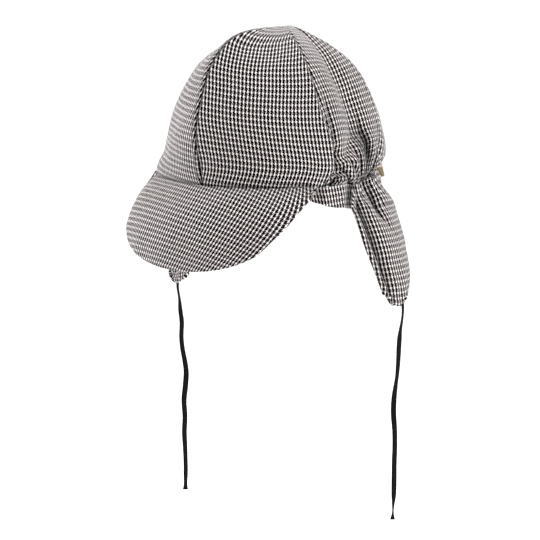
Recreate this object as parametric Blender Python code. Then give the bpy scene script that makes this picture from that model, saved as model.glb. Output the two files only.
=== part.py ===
"""Deerstalker hat: a crown of six cloth gores, a drooping peak, a rim band and two ear flaps with ties.

Metres, +Z up. The peak points to -Y and the wearer's left is +X.
The origin is the middle of the head opening, in the plane of the crown's rim.
"""
import math

import bmesh
import bpy
import numpy as np
from mathutils import Vector

# Crown
RIM_HALF_WIDTH = 0.0885
RIM_HALF_LENGTH = 0.090
CROWN_HEIGHT = 0.1188
CLOTH = 0.0022
GAP = 0.0003
APEX_HOLE_RADIUS = 0.0012
GORE_FLATNESS = 0.0055
FOLD_DEPTH = 0.0070
RIM_DIP = 0.008

# Peak
PEAK_HALF_WIDTH = 0.0845
PEAK_REACH = 0.027
PEAK_DROP = 0.067
PEAK_WALL = 0.003
PEAK_BULGE = 0.013
PEAK_HALF_ANGLE = math.radians(64)

# Rim band
BAND_DEPTH = 0.020
BAND_WALL = 0.002
BAND_TUCK = 0.0052
BAND_FRONT_ANGLE = 48

# Ear flaps
FLAP_LENGTH = 0.0965
FLAP_WIDTH = 0.058
FLAP_SPLAY = 0.032
FLAP_WALL = 0.0028
FLAP_FOLD_DEPTH = 0.004
FLAP_FRONT_ANGLE = 86
FLAP_BACK_ANGLE = 118
FLAP_REAR_DROP = 0.008
FLAP_STAND_OFF = 0.0015

# Ties and tab
TIE_WIDTH = 0.0042
TIE_POINTS = 44
TAB_ANGLE = 123
TAB_WIDTH = 0.009
TAB_DROP = 0.009
TAB_WALL = 0.0012

# Levels up the crown: where the front seam, the side and the back seam lie at each, as shares of the
# rim's half sizes and the crown's height
CROWN_LEVELS = [
    # level, front, front up, side, side back, side up, back, back up
    (0.0, 0.966, 0.000, 0.995, 0.00, 0.000, 1.040, 0.000),
    (0.1, 1.000, 0.128, 1.000, 0.00, 0.125, 1.060, 0.122),
    (0.2, 1.048, 0.264, 0.965, 0.00, 0.260, 1.056, 0.250),
    (0.3, 1.050, 0.391, 0.905, 0.00, 0.388, 1.022, 0.375),
    (0.4, 1.010, 0.523, 0.835, 0.00, 0.520, 0.960, 0.500),
    (0.5, 0.944, 0.660, 0.740, 0.02, 0.653, 0.880, 0.625),
    (0.6, 0.862, 0.790, 0.612, 0.05, 0.780, 0.750, 0.742),
    (0.7, 0.722, 0.893, 0.450, 0.10, 0.878, 0.560, 0.840),
    (0.8, 0.556, 0.968, 0.285, 0.15, 0.945, 0.370, 0.914),
    (0.9, 0.300, 1.000, 0.135, 0.195, 0.976, 0.275, 0.962),
    (1.0, -0.214, 0.988, 0.000, 0.214, 0.988, 0.214, 0.988),
]

# Where the seam beside the front gore and the seam behind the side gore stand, in degrees from the front
SEAMS = [
    # level, front seam, back seam
    (0.0, 70.0, 108.0),
    (0.1, 75.5, 112.0),
    (0.25, 76.5, 119.0),
    (0.4, 74.0, 125.0),
    (0.7, 74.0, 126.0),
    (1.0, 74.0, 126.0),
]

# The rim's height at an angle from the front, as a share of its dip
RIM_LIFT = [
    # angle, lift
    (0, 0.00),
    (40, 0.00),
    (57, 0.10),
    (68, -0.05),
    (82, 0.12),
    (93, 0.00),
    (107, 0.85),
    (125, 1.00),
    (180, 0.88),
]

# The deep fold down the crown's side, with its depth as a share of the fold depth
SIDE_FOLD = [
    # level, angle, depth, half width in degrees
    (0.00, 74.0, 0.45, 3.5),
    (0.10, 80.0, 0.65, 5.0),
    (0.18, 87.0, 1.00, 7.0),
    (0.27, 96.0, 1.22, 8.5),
    (0.38, 99.0, 1.25, 9.0),
    (0.55, 98.0, 1.00, 9.0),
    (0.75, 95.0, 0.40, 10.0),
    (1.00, 95.0, 0.00, 10.0),
]

# Gathers that run up from the rim, with depths as shares of the fold depth
GATHERS = [
    # rim angle, upper angle, reach in levels, depth, half width in degrees
    (65.5, 70.0, 0.10, 0.20, 2.0),
    (84.0, 86.0, 0.18, 0.34, 2.4),
    (91.0, 93.5, 0.24, 0.42, 2.6),
    (98.5, 101.0, 0.22, 0.40, 2.6),
    (108.0, 119.0, 0.32, 0.60, 3.4),
    (117.0, 126.0, 0.16, 0.30, 3.0),
    (132.0, 134.0, 0.20, 0.30, 5.0),
    (148.0, 149.0, 0.18, 0.26, 5.5),
    (165.0, 165.0, 0.18, 0.26, 5.5),
]

# The peak's outer edge from its middle to its end, as shares of its half width, reach and drop
PEAK_EDGE = [
    # share, out, forward, down
    (0.00, 0.000, 1.00, 1.00),
    (0.14, 0.250, 0.97, 0.98),
    (0.28, 0.475, 0.84, 0.93),
    (0.38, 0.625, 0.72, 0.87),
    (0.50, 0.780, 0.48, 0.77),
    (0.58, 0.857, 0.31, 0.67),
    (0.66, 0.907, 0.13, 0.58),
    (0.74, 0.945, -0.15, 0.49),
    (0.86, 0.985, -0.58, 0.32),
    (0.94, 1.000, -1.00, 0.165),
    (1.00, 0.994, -1.516, -0.022),
]

# The band's depth below the rim at an angle from the front, as a share of the band's depth
BAND_DEPTHS = [
    # angle, depth
    (48, 0.40),
    (57, 0.52),
    (66, 0.68),
    (80, 0.95),
    (95, 1.00),
    (180, 0.85),
]

# Sections down a flap: its middle, and its front and back edges from there, as shares of the flap's
# length, splay and width
FLAP_SECTIONS = [
    # down, out, front out, front back, rear out, rear back
    (0.000, 0.00, 0.03, -0.480, -0.200, 0.47),
    (0.166, 0.24, -0.07, -0.480, -0.195, 0.50),
    (0.332, 0.42, -0.14, -0.395, -0.205, 0.55),
    (0.560, 0.67, -0.15, -0.345, -0.190, 0.53),
    (0.725, 0.83, -0.13, -0.305, -0.138, 0.45),
    (0.850, 0.93, -0.09, -0.280, -0.070, 0.31),
    (0.933, 0.97, -0.07, -0.260, -0.050, 0.22),
    (1.000, 1.00, -0.07, -0.170, -0.036, 0.13),
]

# Folds down a flap; across runs from -1 at its front edge to 1 at its back edge
FLAP_FOLDS = [
    # across at top, across at foot, starts, ends, depth, half width
    (-0.80, -0.35, 0.10, 0.97, 0.85, 0.16),
    (-0.45, 0.20, -0.20, 0.42, 1.00, 0.22),
    (0.30, 0.50, -0.20, 0.24, 0.60, 0.16),
    (0.72, 0.80, -0.20, 0.22, 0.55, 0.14),
]

# The route of each tie, measured in metres from the middle of its flap's foot
TIE_ROUTES = {
    "left": [
        # x, y, z
        (-0.0001, 0.0024, -0.0007),
        (0.0000, 0.0025, -0.0047),
        (-0.0007, 0.0021, -0.0122),
        (-0.0021, 0.0015, -0.0212),
        (-0.0029, 0.0011, -0.0322),
        (-0.0035, 0.0009, -0.0442),
        (-0.0041, 0.0003, -0.0552),
        (-0.0053, -0.0005, -0.0652),
        (-0.0063, -0.0011, -0.0752),
        (-0.0067, -0.0011, -0.0862),
        (-0.0061, -0.0005, -0.0992),
        (-0.0059, -0.0005, -0.1122),
        (-0.0062, -0.0008, -0.1252),
        (-0.0063, -0.0009, -0.1382),
        (-0.0065, -0.0010, -0.1502),
        (-0.0069, -0.0014, -0.1612),
        (-0.0073, -0.0017, -0.1707),
    ],
    "right": [
        # x, y, z
        (0.0001, 0.0024, -0.0007),
        (0.0001, 0.0025, -0.0047),
        (0.0013, 0.0031, -0.0132),
        (0.0019, 0.0035, -0.0222),
        (0.0031, 0.0039, -0.0322),
        (0.0030, 0.0035, -0.0432),
        (0.0037, 0.0041, -0.0532),
        (0.0055, 0.0049, -0.0632),
        (0.0065, 0.0053, -0.0722),
        (0.0061, 0.0047, -0.0832),
        (0.0051, 0.0043, -0.0942),
        (0.0057, 0.0047, -0.1072),
        (0.0053, 0.0045, -0.1192),
        (0.0059, 0.0047, -0.1322),
        (0.0063, 0.0049, -0.1452),
        (0.0063, 0.0049, -0.1562),
        (0.0061, 0.0048, -0.1652),
    ],
}

# Mesh steps
CROWN_ROWS = 15
ROW_CROWDING = 1.2
FRONT_COLUMNS = 10
SIDE_COLUMNS = 15
BACK_COLUMNS = 14
PEAK_COLUMNS = 24
PEAK_ROWS = 7
BAND_COLUMNS = 56
BAND_ROWS = 2
FLAP_COLUMNS = 16
FLAP_ROWS = 18
TAB_ROWS = 4
NORMAL_STEP = 0.01
NORMAL_TURN = 0.6


def clear_scene():
    for thing in list(bpy.data.objects):
        bpy.data.objects.remove(thing, do_unlink=True)


def material(name, colour, roughness):
    made = bpy.data.materials.new(name)
    made.use_nodes = True
    shader = made.node_tree.nodes["Principled BSDF"]
    shader.inputs["Base Color"].default_value = (*colour, 1.0)
    shader.inputs["Roughness"].default_value = roughness
    shader.inputs["Metallic"].default_value = 0.0
    return made


def along(rows, at):
    """The other columns of a table at one value of its first column, on a smooth curve through the rows."""
    rows = np.array(rows, float)
    place = rows[:, 0]
    at = min(max(at, place[0]), place[-1])
    low = min(int(np.searchsorted(place, at, side="right")) - 1, len(rows) - 2)
    span = place[low + 1] - place[low]
    share = (at - place[low]) / span
    slopes = []
    for row in (low, low + 1):
        before, after = max(row - 1, 0), min(row + 1, len(rows) - 1)
        slopes.append((rows[after] - rows[before]) / (place[after] - place[before]) * span)
    square, cube = share**2, share**3
    value = (2 * cube - 3 * square + 1) * rows[low] + (cube - 2 * square + share) * slopes[0]
    value = value + (3 * square - 2 * cube) * rows[low + 1] + (cube - square) * slopes[1]
    return value[1:]


def bump(distance, half_width):
    return math.exp(-((distance / half_width) ** 2))


def fade(value, start, end):
    """1 before start, 0 after end and smooth between them."""
    share = min(max((value - start) / (end - start), 0.0), 1.0)
    return 1 - share * share * (3 - 2 * share)


def crown_round(degrees, level):
    """The crown without its seams and folds."""
    front, front_up, side, side_back, side_up, back, back_up = along(CROWN_LEVELS, level)
    ahead, out = math.cos(math.radians(degrees)), math.sin(math.radians(degrees))
    reach = front + side_back if ahead > 0 else back - side_back
    up = front_up if ahead > 0 else back_up
    return np.array(
        [
            RIM_HALF_WIDTH * side * out,
            RIM_HALF_LENGTH * (side_back - reach * ahead),
            CROWN_HEIGHT * (side_up + (up - side_up) * ahead**2),
        ]
    )


def crown_normal(degrees, level):
    """The outward direction of the plain crown."""
    low = max(level - NORMAL_STEP, 0.0)
    across = crown_round(degrees + NORMAL_TURN, level) - crown_round(degrees - NORMAL_TURN, level)
    upward = crown_round(degrees, low + NORMAL_STEP) - crown_round(degrees, low)
    normal = np.cross(across, upward)
    return normal / np.linalg.norm(normal)


def rim_lift(degrees):
    return RIM_DIP * along(RIM_LIFT, abs(degrees))[0]


def gore_flatness(degrees, level):
    """How far a gore lies inside the round crown, most at its middle."""
    front_seam, back_seam = along(SEAMS, level)
    edges = [0.0, front_seam, back_seam, 180.0]
    place = min(int(np.searchsorted(edges, degrees, side="right")) - 1, 2)
    span = edges[place + 1] - edges[place]
    share = (degrees - edges[place]) / span
    strength = (span / front_seam) ** 2 * (1 - 0.8 * fade(level, 0.0, 0.22)) * fade(level, 0.75, 1.0)
    return GORE_FLATNESS * strength * (1 - (2 * share - 1) ** 2)


def fold_depth(degrees, level):
    """How far the side fold and the gathers sink the cloth."""
    angle, depth, half_width = along(SIDE_FOLD, level)
    total = depth * bump(degrees - angle, half_width)
    for low_angle, high_angle, reach, depth, half_width in GATHERS:
        angle = low_angle + (high_angle - low_angle) * min(level / reach, 1.0)
        total += depth * bump(degrees - angle, half_width) * fade(level, reach * 0.2, reach)
    return FOLD_DEPTH * total


def crown_outer(degrees, level):
    """The crown's outer face at an angle from the front, which is negative on the wearer's right."""
    angle = abs(degrees)
    point = crown_round(angle, level)
    sink = gore_flatness(angle, level) + fold_depth(angle, level)
    point = point - sink * crown_normal(angle, level)
    point[2] += rim_lift(angle) * fade(level, 0.0, 0.3)
    point[0] *= -1 if degrees < 0 else 1
    return point


def crown_inner(degrees, level):
    inward = crown_normal(abs(degrees), level) * CLOTH
    inward[0] *= -1 if degrees < 0 else 1
    return crown_outer(degrees, level) - inward


def seam_angle(index, level):
    """The angle of a seam, counted from the back seam on the right, round the front to the same seam."""
    front_seam, back_seam = along(SEAMS, level)
    return [-180.0, -back_seam, -front_seam, 0.0, front_seam, back_seam, 180.0][index]


def apex_level():
    """The level where the gores' tips end, round a hole of the named radius."""
    top, low = 1.0, 0.9
    apex = crown_round(0.0, 1.0)
    for _ in range(40):
        middle = (top + low) / 2
        if np.linalg.norm(crown_round(90.0, middle) - apex) > APEX_HOLE_RADIUS:
            low = middle
        else:
            top = middle
    return low


def shell(name, outer, inner, look):
    """A closed wall between two grids of points."""
    rows, columns = len(outer), len(outer[0])
    mesh = bmesh.new()
    faces = []
    grids = []
    for grid in (outer, inner):
        grids.append([[mesh.verts.new(point) for point in row] for row in grid])
    for row in range(rows - 1):
        for column in range(columns - 1):
            for grid, order in ((grids[0], 1), (grids[1], -1)):
                corners = [
                    grid[row][column],
                    grid[row][column + 1],
                    grid[row + 1][column + 1],
                    grid[row + 1][column],
                ]
                faces.append(corners[::order])
    edge = [(0, column) for column in range(columns)]
    edge += [(row, columns - 1) for row in range(1, rows)]
    edge += [(rows - 1, column) for column in range(columns - 2, -1, -1)]
    edge += [(row, 0) for row in range(rows - 2, 0, -1)]
    for here, after in zip(edge, edge[1:] + edge[:1]):
        (row, column), (next_row, next_column) = here, after
        faces.append(
            [
                grids[0][next_row][next_column],
                grids[0][row][column],
                grids[1][row][column],
                grids[1][next_row][next_column],
            ]
        )
    for corners in faces:
        mesh.faces.new(corners)
    bmesh.ops.triangulate(mesh, faces=mesh.faces[:])
    bmesh.ops.recalc_face_normals(mesh, faces=mesh.faces[:])
    data = bpy.data.meshes.new(name)
    mesh.to_mesh(data)
    mesh.free()
    data.shade_smooth()
    data.set_sharp_from_angle(angle=math.radians(50))
    made = bpy.data.objects.new(name, data)
    made.data.materials.append(look)
    bpy.context.collection.objects.link(made)
    return made


def gore(name, index, columns, look):
    """One gore between two neighbouring seams, half a gap clear of each."""
    top = apex_level()
    outer, inner = [], []
    for row in range(CROWN_ROWS + 1):
        level = top * (row / CROWN_ROWS) ** ROW_CROWDING
        start, end = seam_angle(index, level), seam_angle(index + 1, level)
        middle = (start + end) / 2
        radius = np.linalg.norm(crown_outer(middle, level)[:2] - crown_round(0.0, 1.0)[:2])
        radius = min(radius, RIM_HALF_WIDTH * along(CROWN_LEVELS, level)[2])
        trim = math.degrees(GAP / 2 / radius)
        angles = np.linspace(start + trim, end - trim, columns + 1)
        outer.append([crown_outer(angle, level) for angle in angles])
        inner.append([crown_inner(angle, level) for angle in angles])
    return shell(name, outer, inner, look)


def rim_point(degrees, inside=0.0, below=0.0):
    """A point at the crown's rim, a distance in from its outer face and down from its edge."""
    point = crown_outer(degrees, 0.0)
    inward = -point[:2] / np.linalg.norm(point[:2])
    return np.array([*(point[:2] + inward * inside), point[2] - below])


def peak(look):
    """A stiff curved visor that hangs from the front of the rim."""
    front = crown_outer(0.0, 0.0)[1]
    top, under = [], []
    for column in range(PEAK_COLUMNS + 1):
        share = 2 * column / PEAK_COLUMNS - 1
        out, forward, down = along(PEAK_EDGE, abs(share))
        root = rim_point(math.degrees(share * PEAK_HALF_ANGLE), CLOTH / 2, GAP)
        side = math.copysign(1.0, share)
        tip = np.array([side * out * PEAK_HALF_WIDTH, front - forward * PEAK_REACH, -down * PEAK_DROP])
        upward = np.array([0.25 * side * out, -1.0, 0.6])
        upward /= np.linalg.norm(upward)
        line = []
        for row in range(PEAK_ROWS + 1):
            way = row / PEAK_ROWS
            swell = PEAK_BULGE * 4 * way * (1 - way) * (1 - share**2)
            line.append(root + (tip - root) * way + upward * swell)
        top.append(line)
    for column, line in enumerate(top):
        before, after = top[max(column - 1, 0)], top[min(column + 1, PEAK_COLUMNS)]
        lower = []
        for row, point in enumerate(line):
            across = after[row] - before[row]
            outward = line[min(row + 1, PEAK_ROWS)] - line[max(row - 1, 0)]
            normal = np.cross(outward, across)
            lower.append(point - normal / np.linalg.norm(normal) * PEAK_WALL)
        under.append(lower)
    return shell("peak", top, under, look)


def band(look):
    """An open band below the rim, from just inside one end of the peak round the back to the other."""
    peak_end = math.degrees(PEAK_HALF_ANGLE)
    outer, inner = [], []
    for row in range(BAND_ROWS + 1):
        outer_row, inner_row = [], []
        for column in range(BAND_COLUMNS + 1):
            degrees = BAND_FRONT_ANGLE + (360 - 2 * BAND_FRONT_ANGLE) * column / BAND_COLUMNS
            degrees = degrees - 360 if degrees > 180 else degrees
            angle = abs(degrees)
            depth = BAND_DEPTH * along(BAND_DEPTHS, angle)[0]
            tuck = fade(angle, FLAP_FRONT_ANGLE - 12, FLAP_FRONT_ANGLE - 3)
            tuck = BAND_TUCK * (1 - tuck) * fade(angle, FLAP_BACK_ANGLE + 8, FLAP_BACK_ANGLE + 22)
            tuck += BAND_TUCK * fade(angle, peak_end + 1, peak_end + 7)
            plain = crown_round(angle, 0.0)
            plain[0] *= -1 if degrees < 0 else 1
            plain[2] = rim_lift(angle)
            inward = -plain / np.linalg.norm(plain[:2])
            inward[2] = 0.0
            below = GAP + depth * row / BAND_ROWS
            lean = 0.03 * depth * row / BAND_ROWS
            for grid_row, inside in ((outer_row, 0.0), (inner_row, BAND_WALL)):
                point = plain + inward * (tuck + inside + lean + CLOTH / 4)
                grid_row.append(point - np.array([0.0, 0.0, below]))
        outer.append(outer_row)
        inner.append(inner_row)
    return shell("rim_band", outer, inner, look)


def flap_point(across, down):
    """The flap's outer face on the wearer's left, from its front edge at -1 to its back edge at 1."""
    out, front_out, front_back, rear_out, rear_back = along(FLAP_SECTIONS, down)
    degrees = (FLAP_FRONT_ANGLE + FLAP_BACK_ANGLE) / 2
    middle = crown_round(degrees, 0.0)
    ends = [np.array([front_out, front_back]), np.array([rear_out, rear_back])]
    curve = (ends[0] * across * (across - 1) + ends[1] * across * (across + 1)) / 2 * FLAP_WIDTH
    edge_angle = degrees + across * (FLAP_BACK_ANGLE - FLAP_FRONT_ANGLE) / 2
    at_rim = crown_round(edge_angle, 0.0)
    hung = np.array([middle[0] + out * FLAP_SPLAY + curve[0], middle[1] * (1 - 0.12 * down) + curve[1]])
    join = fade(down, 0.0, 0.2)
    plan = hung * (1 - join) + (at_rim[:2] + np.array([FLAP_STAND_OFF, 0.0])) * join
    lift = rim_lift(edge_angle) - FLAP_REAR_DROP * fade(-across, -1.0, -0.3)
    height = -FLAP_LENGTH * down + lift * fade(down, 0.0, 0.25) - GAP
    round_end = 0.05 * abs(across) ** 3 * down**6
    return np.array([*plan, height + FLAP_LENGTH * round_end])


def flap_normal(across, down):
    low, high = max(down - NORMAL_STEP, 0.0), min(down + NORMAL_STEP, 1.0)
    sideways = flap_point(across + NORMAL_STEP, down) - flap_point(across - NORMAL_STEP, down)
    downward = flap_point(across, high) - flap_point(across, low)
    normal = np.cross(downward, sideways)
    return normal / np.linalg.norm(normal)


def flap_sink(across, down):
    total = 0.0
    for high, low, starts, ends, depth, half_width in FLAP_FOLDS:
        share = min(max((down - max(starts, 0.0)) / (ends - max(starts, 0.0)), 0.0), 1.0)
        middle = high + (low - high) * share
        strength = fade(down, ends - 0.25, ends) * (1 - fade(down, starts, starts + 0.15))
        total += depth * strength * bump(across - middle, half_width)
    return FLAP_FOLD_DEPTH * total


def ear_flap(side, look):
    """A soft lobe that hangs from the rim, curled round towards its front edge."""
    mirror = np.array([1.0 if side == "left" else -1.0, 1.0, 1.0])
    outer, inner = [], []
    for row in range(FLAP_ROWS + 1):
        down = row / FLAP_ROWS
        outer_row, inner_row = [], []
        for column in range(FLAP_COLUMNS + 1):
            across = 2 * column / FLAP_COLUMNS - 1
            normal = flap_normal(across, down)
            point = flap_point(across, down) - normal * flap_sink(across, down)
            inward = normal * FLAP_WALL
            inward[2] *= 1 - fade(down, 0.0, 0.1)
            outer_row.append(point * mirror)
            inner_row.append((point - inward) * mirror)
        outer.append(outer_row)
        inner.append(inner_row)
    return shell(f"ear_flap_{side}", outer, inner, look)


def tie(side, look):
    """A narrow tape that hangs free from the flap's tip."""
    foot = flap_point(0.0, 1.0)
    foot[0] *= 1 if side == "left" else -1
    route = [(place, *(foot + np.array(point))) for place, point in enumerate(TIE_ROUTES[side])]
    curve = bpy.data.curves.new(f"tie_{side}", "CURVE")
    curve.dimensions = "3D"
    curve.bevel_depth = TIE_WIDTH / 2
    curve.bevel_resolution = 2
    curve.use_fill_caps = True
    spline = curve.splines.new("POLY")
    spline.points.add(TIE_POINTS - 1)
    for index, point in enumerate(spline.points):
        place = index / (TIE_POINTS - 1) * (len(route) - 1)
        point.co = (*along(route, place), 1.0)
    made = bpy.data.objects.new(f"tie_{side}", curve)
    curve.materials.append(look)
    bpy.context.collection.objects.link(made)
    return made


def side_tab(look):
    """A small folded tab sewn in under the rim, behind the left flap."""
    half_turn = math.degrees(TAB_WIDTH / 2 / RIM_HALF_LENGTH)
    outer, inner = [], []
    for row in range(TAB_ROWS + 1):
        share = row / TAB_ROWS
        rows = []
        for lift in (TAB_WALL, 0.0):
            line = []
            for turn in (-half_turn, 0.0, half_turn):
                base = rim_point(TAB_ANGLE + turn, CLOTH - lift, GAP + TAB_DROP * share)
                line.append(Vector(base))
            rows.append(line)
        outer.append(rows[0])
        inner.append(rows[1])
    return shell("side_tab", outer, inner, look)


def build():
    clear_scene()
    check = material("houndstooth_cloth", (0.36, 0.34, 0.34), 0.9)
    black = material("black_tape", (0.02, 0.02, 0.022), 0.7)
    brown = material("brown_tab", (0.24, 0.17, 0.09), 0.75)
    gores = [
        ("crown_back_right", BACK_COLUMNS),
        ("crown_side_right", SIDE_COLUMNS),
        ("crown_front_right", FRONT_COLUMNS),
        ("crown_front_left", FRONT_COLUMNS),
        ("crown_side_left", SIDE_COLUMNS),
        ("crown_back_left", BACK_COLUMNS),
    ]
    for index, (name, columns) in enumerate(gores):
        gore(name, index, columns, check)
    peak(check)
    band(check)
    for side in ("left", "right"):
        ear_flap(side, check)
        tie(side, black)
    side_tab(brown)


build()
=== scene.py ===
"""Dresses the deerstalker hat's solids: houndstooth cloth with its seams, folds and gathers, tape ties and a tab.

The surface tables repeat those of the part's source. Metres, +Z up, the peak points to -Y.
"""
import math

import bpy
import numpy as np
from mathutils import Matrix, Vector


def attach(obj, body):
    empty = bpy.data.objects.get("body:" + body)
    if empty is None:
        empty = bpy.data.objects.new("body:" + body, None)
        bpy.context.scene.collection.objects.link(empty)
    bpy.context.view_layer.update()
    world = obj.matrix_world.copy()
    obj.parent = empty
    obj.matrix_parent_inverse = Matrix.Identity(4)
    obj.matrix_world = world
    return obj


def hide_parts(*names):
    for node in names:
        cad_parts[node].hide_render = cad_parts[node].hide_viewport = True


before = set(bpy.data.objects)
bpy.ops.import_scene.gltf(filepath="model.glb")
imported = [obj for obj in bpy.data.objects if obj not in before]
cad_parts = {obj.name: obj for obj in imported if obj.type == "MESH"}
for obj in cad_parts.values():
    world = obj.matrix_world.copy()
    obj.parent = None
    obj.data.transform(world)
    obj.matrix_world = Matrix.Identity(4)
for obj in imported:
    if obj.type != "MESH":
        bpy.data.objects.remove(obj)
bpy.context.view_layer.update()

# Sizes of the part's source
RIM_HALF_WIDTH = 0.0885
RIM_HALF_LENGTH = 0.090
CROWN_HEIGHT = 0.1188
CLOTH = 0.0022
GAP = 0.0003
GORE_FLATNESS = 0.0055
FOLD_DEPTH = 0.0070
RIM_DIP = 0.008
PEAK_HALF_WIDTH = 0.0845
PEAK_REACH = 0.027
PEAK_DROP = 0.067
PEAK_WALL = 0.003
PEAK_BULGE = 0.013
PEAK_HALF_ANGLE = math.radians(64)
BAND_DEPTH = 0.020
BAND_WALL = 0.002
BAND_TUCK = 0.0052
BAND_FRONT_ANGLE = 48
FLAP_LENGTH = 0.0965
FLAP_WIDTH = 0.058
FLAP_SPLAY = 0.032
FLAP_WALL = 0.0028
FLAP_FOLD_DEPTH = 0.004
FLAP_FRONT_ANGLE = 86
FLAP_BACK_ANGLE = 118
FLAP_REAR_DROP = 0.008
FLAP_STAND_OFF = 0.0015
TIE_WIDTH = 0.0042
TIE_THICKNESS = 0.0009
TAB_ANGLE = 123
TAB_WIDTH = 0.009
TAB_DROP = 0.009
TAB_WALL = 0.0012

# Tables of the part's source
CROWN_LEVELS = [
    # level, front, front up, side, side back, side up, back, back up
    (0.0, 0.966, 0.000, 0.995, 0.00, 0.000, 1.040, 0.000),
    (0.1, 1.000, 0.128, 1.000, 0.00, 0.125, 1.060, 0.122),
    (0.2, 1.048, 0.264, 0.965, 0.00, 0.260, 1.056, 0.250),
    (0.3, 1.050, 0.391, 0.905, 0.00, 0.388, 1.022, 0.375),
    (0.4, 1.010, 0.523, 0.835, 0.00, 0.520, 0.960, 0.500),
    (0.5, 0.944, 0.660, 0.740, 0.02, 0.653, 0.880, 0.625),
    (0.6, 0.862, 0.790, 0.612, 0.05, 0.780, 0.750, 0.742),
    (0.7, 0.722, 0.893, 0.450, 0.10, 0.878, 0.560, 0.840),
    (0.8, 0.556, 0.968, 0.285, 0.15, 0.945, 0.370, 0.914),
    (0.9, 0.300, 1.000, 0.135, 0.195, 0.976, 0.275, 0.962),
    (1.0, -0.214, 0.988, 0.000, 0.214, 0.988, 0.214, 0.988),
]
SEAMS = [
    # level, front seam, back seam
    (0.0, 70.0, 108.0),
    (0.1, 75.5, 112.0),
    (0.25, 76.5, 119.0),
    (0.4, 74.0, 125.0),
    (0.7, 74.0, 126.0),
    (1.0, 74.0, 126.0),
]
RIM_LIFT = [
    # angle, lift
    (0, 0.00),
    (40, 0.00),
    (57, 0.10),
    (68, -0.05),
    (82, 0.12),
    (93, 0.00),
    (107, 0.85),
    (125, 1.00),
    (180, 0.88),
]
SIDE_FOLD = [
    # level, angle, depth, half width in degrees
    (0.00, 74.0, 0.45, 3.5),
    (0.10, 80.0, 0.65, 5.0),
    (0.18, 87.0, 1.00, 7.0),
    (0.27, 96.0, 1.22, 8.5),
    (0.38, 99.0, 1.25, 9.0),
    (0.55, 98.0, 1.00, 9.0),
    (0.75, 95.0, 0.40, 10.0),
    (1.00, 95.0, 0.00, 10.0),
]
GATHERS = [
    # rim angle, upper angle, reach in levels, depth, half width in degrees
    (65.5, 70.0, 0.10, 0.20, 2.0),
    (84.0, 86.0, 0.18, 0.34, 2.4),
    (91.0, 93.5, 0.24, 0.42, 2.6),
    (98.5, 101.0, 0.22, 0.40, 2.6),
    (108.0, 119.0, 0.32, 0.60, 3.4),
    (117.0, 126.0, 0.16, 0.30, 3.0),
    (132.0, 134.0, 0.20, 0.30, 5.0),
    (148.0, 149.0, 0.18, 0.26, 5.5),
    (165.0, 165.0, 0.18, 0.26, 5.5),
]
PEAK_EDGE = [
    # share, out, forward, down
    (0.00, 0.000, 1.00, 1.00),
    (0.14, 0.250, 0.97, 0.98),
    (0.28, 0.475, 0.84, 0.93),
    (0.38, 0.625, 0.72, 0.87),
    (0.50, 0.780, 0.48, 0.77),
    (0.58, 0.857, 0.31, 0.67),
    (0.66, 0.907, 0.13, 0.58),
    (0.74, 0.945, -0.15, 0.49),
    (0.86, 0.985, -0.58, 0.32),
    (0.94, 1.000, -1.00, 0.165),
    (1.00, 0.994, -1.516, -0.022),
]
BAND_DEPTHS = [
    # angle, depth
    (48, 0.40),
    (57, 0.52),
    (66, 0.68),
    (80, 0.95),
    (95, 1.00),
    (180, 0.85),
]
FLAP_SECTIONS = [
    # down, out, front out, front back, rear out, rear back
    (0.000, 0.00, 0.03, -0.480, -0.200, 0.47),
    (0.166, 0.24, -0.07, -0.480, -0.195, 0.50),
    (0.332, 0.42, -0.14, -0.395, -0.205, 0.55),
    (0.560, 0.67, -0.15, -0.345, -0.190, 0.53),
    (0.725, 0.83, -0.13, -0.305, -0.138, 0.45),
    (0.850, 0.93, -0.09, -0.280, -0.070, 0.31),
    (0.933, 0.97, -0.07, -0.260, -0.050, 0.22),
    (1.000, 1.00, -0.07, -0.170, -0.036, 0.13),
]
FLAP_FOLDS = [
    # across at top, across at foot, starts, ends, depth, half width
    (-0.80, -0.35, 0.10, 0.97, 0.85, 0.16),
    (-0.45, 0.20, -0.20, 0.42, 1.00, 0.22),
    (0.30, 0.50, -0.20, 0.24, 0.60, 0.16),
    (0.72, 0.80, -0.20, 0.22, 0.55, 0.14),
]
TIE_ROUTES = {
    "left": [
        # x, y, z
        (-0.0001, 0.0024, -0.0007),
        (0.0000, 0.0025, -0.0047),
        (-0.0007, 0.0021, -0.0122),
        (-0.0021, 0.0015, -0.0212),
        (-0.0029, 0.0011, -0.0322),
        (-0.0035, 0.0009, -0.0442),
        (-0.0041, 0.0003, -0.0552),
        (-0.0053, -0.0005, -0.0652),
        (-0.0063, -0.0011, -0.0752),
        (-0.0067, -0.0011, -0.0862),
        (-0.0061, -0.0005, -0.0992),
        (-0.0059, -0.0005, -0.1122),
        (-0.0062, -0.0008, -0.1252),
        (-0.0063, -0.0009, -0.1382),
        (-0.0065, -0.0010, -0.1502),
        (-0.0069, -0.0014, -0.1612),
        (-0.0073, -0.0017, -0.1707),
    ],
    "right": [
        # x, y, z
        (0.0001, 0.0024, -0.0007),
        (0.0001, 0.0025, -0.0047),
        (0.0013, 0.0031, -0.0132),
        (0.0019, 0.0035, -0.0222),
        (0.0031, 0.0039, -0.0322),
        (0.0030, 0.0035, -0.0432),
        (0.0037, 0.0041, -0.0532),
        (0.0055, 0.0049, -0.0632),
        (0.0065, 0.0053, -0.0722),
        (0.0061, 0.0047, -0.0832),
        (0.0051, 0.0043, -0.0942),
        (0.0057, 0.0047, -0.1072),
        (0.0053, 0.0045, -0.1192),
        (0.0059, 0.0047, -0.1322),
        (0.0063, 0.0049, -0.1452),
        (0.0063, 0.0049, -0.1562),
        (0.0061, 0.0048, -0.1652),
    ],
}

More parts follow.
